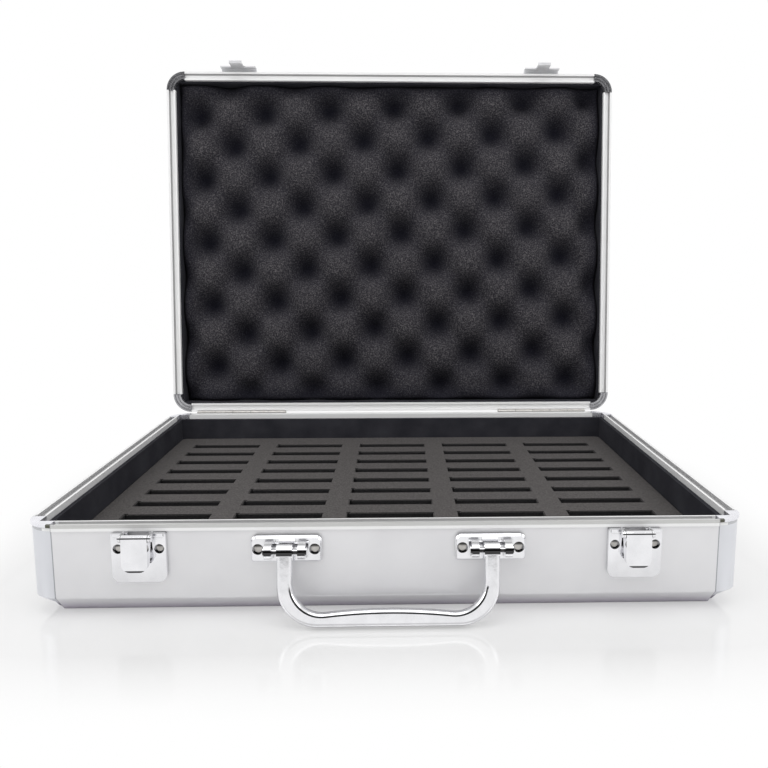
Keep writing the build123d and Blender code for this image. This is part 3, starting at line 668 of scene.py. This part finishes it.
slot_columns = 5
slot_rows = 9
slot_length = 0.056
slot_width = 0.009
column_pitch = 0.072
row_pitch = 0.0268
rear_slot_margin = 0.0260
slot_edge_radius = 0.0005
slot_edge_segments = 2
knife_overshoot = 0.0016
tray_corner = 0.005
tray_corner_segments = 6
tray_step_x = 0.014
tray_step_y = 0.009
line_digits = 7
same_place = 1e-6
sharp_edge = 1.0
upright_below = 0.3
tray_low, tray_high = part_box("slotted_tray")
rear_row = tray_high.y - rear_slot_margin - slot_width / 2
slot_centres = [
    ((column - (slot_columns - 1) / 2) * column_pitch, rear_row - row * row_pitch)
    for row in range(slot_rows) for column in range(slot_columns)]


def cut_lines(low, high, centres, cut, overshoot, step):
    """Coordinates of a grid that has a line at each end, at each cut edge, and in between."""
    fixed = {round(low, line_digits), round(high, line_digits)}
    for centre in centres:
        for offset in (-cut / 2, cut / 2, overshoot):
            fixed.add(round(centre + offset, line_digits))
    fixed = sorted(fixed)
    lines = []
    for here, there in zip(fixed, fixed[1:]):
        parts = max(1, round((there - here) / step))
        lines += [here + (there - here) * part / parts for part in range(parts)]
    return lines + [fixed[-1]]


x_lines = cut_lines(
    tray_low.x, tray_high.x, {x for x, _ in slot_centres}, slot_length,
    knife_overshoot - slot_length / 2, tray_step_x)
y_lines = cut_lines(
    tray_low.y, tray_high.y, {y for _, y in slot_centres}, slot_width,
    knife_overshoot + slot_width / 2, tray_step_y)
tray = bmesh.new()
grid = [[tray.verts.new((x, y, tray_high.z)) for x in x_lines] for y in y_lines]
for j in range(len(y_lines) - 1):
    for i in range(len(x_lines) - 1):
        middle_x = (x_lines[i] + x_lines[i + 1]) / 2
        middle_y = (y_lines[j] + y_lines[j + 1]) / 2
        cut_away = any(
            abs(middle_x - x) < slot_length / 2 and abs(middle_y - y) < slot_width / 2
            or 0 < middle_x - x + slot_length / 2 < knife_overshoot
            and 0 < middle_y - y - slot_width / 2 < knife_overshoot
            for x, y in slot_centres)
        if not cut_away:
            tray.faces.new((grid[j][i], grid[j][i + 1], grid[j + 1][i + 1], grid[j + 1][i]))
loose = [vertex for vertex in tray.verts if not vertex.link_faces]
bmesh.ops.delete(tray, geom=loose, context="VERTS")
skin = bmesh.ops.extrude_face_region(tray, geom=list(tray.faces))
lowered = [item for item in skin["geom"] if isinstance(item, bmesh.types.BMVert)]
bmesh.ops.translate(tray, verts=lowered, vec=(0, 0, tray_low.z - tray_high.z))
corner_edges = [
    edge for edge in tray.edges
    if all(abs(vertex.co.x) > tray_high.x - same_place for vertex in edge.verts)
    and all(
        not tray_low.y + same_place < vertex.co.y < tray_high.y - same_place
        for vertex in edge.verts)
    and abs(edge.verts[0].co.z - edge.verts[1].co.z) > same_place]
bmesh.ops.bevel(
    tray, geom=corner_edges, offset=tray_corner, segments=tray_corner_segments,
    affect="EDGES", profile=0.5)
tray.normal_update()
upper_edges = [
    edge for edge in tray.edges
    if len(edge.link_faces) == 2
    and all(abs(vertex.co.z - tray_high.z) < same_place for vertex in edge.verts)
    and abs(edge.calc_face_angle(0)) > sharp_edge]
bmesh.ops.bevel(
    tray, geom=upper_edges, offset=slot_edge_radius, segments=slot_edge_segments,
    affect="EDGES")
# Upright faces inside the slots take the painted shade of the slot walls.
for face in tray.faces:
    middle = face.calc_center_median()
    inset = min(tray_high.x - abs(middle.x), tray_high.y - abs(middle.y))
    if abs(face.normal.z) < upright_below and inset > slot_width:
        face.material_index = 1
tray_piece = new_piece("tray", tray, "base", tray_skin, slot_wall_shade)
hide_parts("slotted_tray")


# The underlay is a thin sheet of soft black foam that lies on the bottom panel, under the tray.
# It shows through the slots, and the samples stand on it.
underlay_cells = foam_finish(
    "underlay_foam", size=0.0012, contrast=1.0, dark=(0.004, 0.004, 0.005),
    light=(0.012, 0.012, 0.013), roughness=0.9, distance=0.0003, strength=0.6)
underlay_corner = 0.0076
underlay_edge = 0.0005
sheet_low, sheet_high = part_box("tray_underlay")
underlay = bmesh.new()
bmesh.ops.create_cube(underlay, size=1.0)
middle = (sheet_low + sheet_high) / 2
extent = sheet_high - sheet_low
for vertex in underlay.verts:
    vertex.co = mathutils.Vector(
        (vertex.co.x * extent.x, vertex.co.y * extent.y, vertex.co.z * extent.z)) + middle
upright = [
    edge for edge in underlay.edges
    if abs(edge.verts[0].co.z - edge.verts[1].co.z) > extent.z / 2]
bmesh.ops.bevel(underlay, geom=upright, offset=underlay_corner, segments=1, affect="EDGES")
bmesh.ops.bevel(
    underlay, geom=list(underlay.edges), offset=underlay_edge, segments=2, affect="EDGES")
underlay_piece = new_piece("underlay", underlay, "base", underlay_cells)
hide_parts("tray_underlay")


# The lid holds a sheet of egg-crate foam: staggered pits and rounded peaks cut by a profiled
# roller, laid a little turned. It is charcoal grey, with pale specks where cells are cut open;
# painted shade darkens it down in the pits, along its border and towards the hinge.
lid_top = 0.0878
foam_side = 0.0100
foam_corner = 0.0060
foam_back = lid_top - 0.0049
foam_peak = rim_plane + 0.0052
pit_pitch = (0.0592, 0.0574)
pit_turn = math.radians(2.92)
pit_start = (-0.0135, 0.0192)
pit_depth = 0.0190
pit_sharpness = 1.7
border_relief = 0.55
foam_step = 0.0022
foam_edge_round = 0.004
foam_edge_drop = 0.6
ripple_height = 0.0006
ripples_per_metre = 90
ripple_layer = 0.3
border_width = 0.014
border_light = 0.15
hinge_shade_width = 0.050
hinge_light = 0.6
open_dark = (0.022, 0.021, 0.026)
open_light = (0.172, 0.162, 0.169)
pit_shade_dark = (0.008, 0.008, 0.014)
pit_shade_light = (0.022, 0.022, 0.033)
foam_cells, tree, shader = new_material("egg_crate_foam_cells")
speckle = speckled(tree, size=0.0011, contrast=1.9)
open_cells = mixed(tree, speckle, open_dark, open_light)
# The painted shade colour of the pits, which comes in where the painted light over the pits is low.
pit_shade_cells = mixed(tree, speckle, pit_shade_dark, pit_shade_light)
foam_light = tree.nodes.new("ShaderNodeAttribute")
foam_light.attribute_name = "painted_light_over_pits"
colour = mixed(tree, foam_light.outputs["Fac"], pit_shade_cells, open_cells)
tree.links.new(colour, shader.inputs["Base Color"])
shader.inputs["Roughness"].default_value = 1.0
shader.inputs["Specular IOR Level"].default_value = 0.2
bumped(tree, shader, speckle, distance=0.0006, strength=0.8)


def egg_crate(x, t):
    """How high the foam's surface stands, from 0 in a pit to 1 on a peak."""
    along = (x - pit_start[0]) * math.cos(pit_turn) + (t - pit_start[1]) * math.sin(pit_turn)
    up = (t - pit_start[1]) * math.cos(pit_turn) - (x - pit_start[0]) * math.sin(pit_turn)
    wave = math.cos(2 * math.pi * along / pit_pitch[0]) * math.cos(2 * math.pi * up / pit_pitch[1])
    return 1 - (0.5 + 0.5 * wave) ** pit_sharpness


open_turn = mathutils.Matrix.Rotation(-open_angle, 4, "X")


def on_open_lid(x, t, z):
    """A point of the closed lid, at t from its hinge edge and height z, where the lid stands open."""
    closed = mathutils.Vector((x, case_depth / 2 - t, z))
    return hinge_point + open_turn @ (closed - hinge_point)


foam = bmesh.new()
painted_light_layer = foam.verts.layers.float.new("painted_light_over_pits")
foam_half_width = case_width / 2 - foam_side
foam_length = case_depth - 2 * foam_side
columns = round(2 * foam_half_width / foam_step)
rows = round(foam_length / foam_step)


def foam_place(row, column):
    """The place of a point of the foam's grid, drawn in near the corners to round them."""
    x = -foam_half_width + 2 * foam_half_width * column / columns
    t = foam_length * row / rows - foam_length / 2
    over_x = abs(x) - foam_half_width + foam_corner
    over_t = abs(t) - foam_length / 2 + foam_corner
    if min(over_x, over_t) > 0:
        shrink = max(over_x, over_t) / math.hypot(over_x, over_t)
        x += math.copysign(over_x * (shrink - 1), x)
        t += math.copysign(over_t * (shrink - 1), t)
    return x, t + case_depth / 2


def from_least(least, share):
    """A value that runs from a least one to 1 with a share."""
    return least + (1 - least) * share


surface = []
for row in range(rows + 1):
    line = []
    for column in range(columns + 1):
        x, t = foam_place(row, column)
        edge = min(foam_half_width - abs(x), t - foam_side, foam_side + foam_length - t)
        inside = min(1.0, edge / border_width)
        level = 1 - (1 - egg_crate(x, t)) * from_least(border_relief, inside)
        ripple = mathutils.noise.noise(mathutils.Vector(
            (x * ripples_per_metre, t * ripples_per_metre, ripple_layer)))
        drop = foam_edge_round * max(0.0, 1 - edge / foam_edge_round) ** 2 * foam_edge_drop
        z = foam_peak + pit_depth * (1 - level) + drop + ripple_height * ripple
        vertex = foam.verts.new(on_open_lid(x, t, z))
        # Painted shade: the foam's painted light falls with the pits' depth, along its border and
        # towards the hinge.
        near_hinge = min(1.0, (t - foam_side) / hinge_shade_width)
        light = from_least(border_light, inside) * from_least(hinge_light, near_hinge)
        vertex[painted_light_layer] = level * light
        line.append(vertex)
    surface.append(line)
for row in range(rows):
    for column in range(columns):
        foam.faces.new((
            surface[row][column], surface[row][column + 1],
            surface[row + 1][column + 1], surface[row + 1][column]))
rim_places = (
    [(0, column) for column in range(columns)] + [(row, columns) for row in range(rows)]
    + [(rows, column) for column in range(columns, 0, -1)] + [(row, 0) for row in range(rows, 0, -1)])
rim = [surface[row][column] for row, column in rim_places]
back = [
    foam.verts.new(on_open_lid(*foam_place(row, column), foam_back)) for row, column in rim_places]
for index in range(len(rim)):
    following = (index + 1) % len(rim)
    foam.faces.new((rim[index], back[index], back[following], rim[following]))
foam.faces.new(back)
for face in foam.faces:
    face.smooth = True
foam_piece = new_piece("egg_crate", foam, "lid", foam_cells)
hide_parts("egg_crate_foam")
